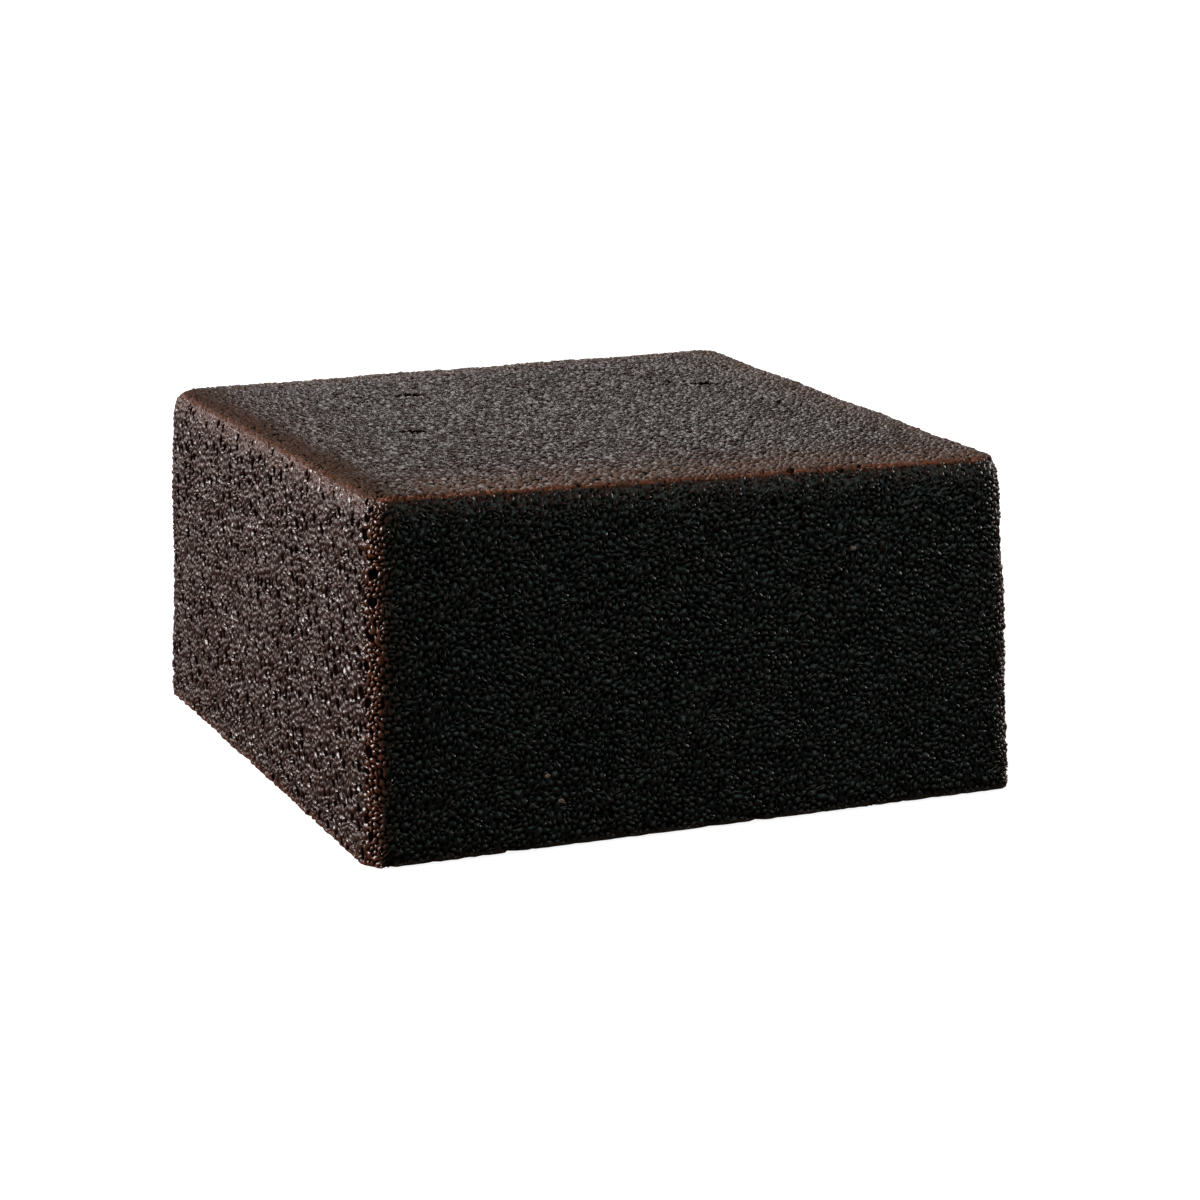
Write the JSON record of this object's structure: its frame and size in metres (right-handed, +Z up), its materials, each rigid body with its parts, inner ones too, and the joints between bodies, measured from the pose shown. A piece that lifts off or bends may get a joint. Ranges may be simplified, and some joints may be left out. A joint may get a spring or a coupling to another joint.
{
  "type": "chocolate mud cake",
  "caption": "Whole square unfrosted chocolate mud cake: a dense dark block with rounded edges, slightly leaning sides and an open, moist, pitted crumb, resting on its flat underside.",
  "frame": {"origin": "middle of the flat underside, on the surface that the cake rests on", "axes": "+Z up through the top of the cake, +X along the front face to the right, -Y out of the front face"},
  "size_m": [0.2, 0.205, 0.1021],
  "materials": {
    "crumb": "moist half-gloss open crumb, nearly black brown, redder along the edges"
  },
  "bodies": {
    "root": {"cake": "crumb"}
  },
  "joints": []
}
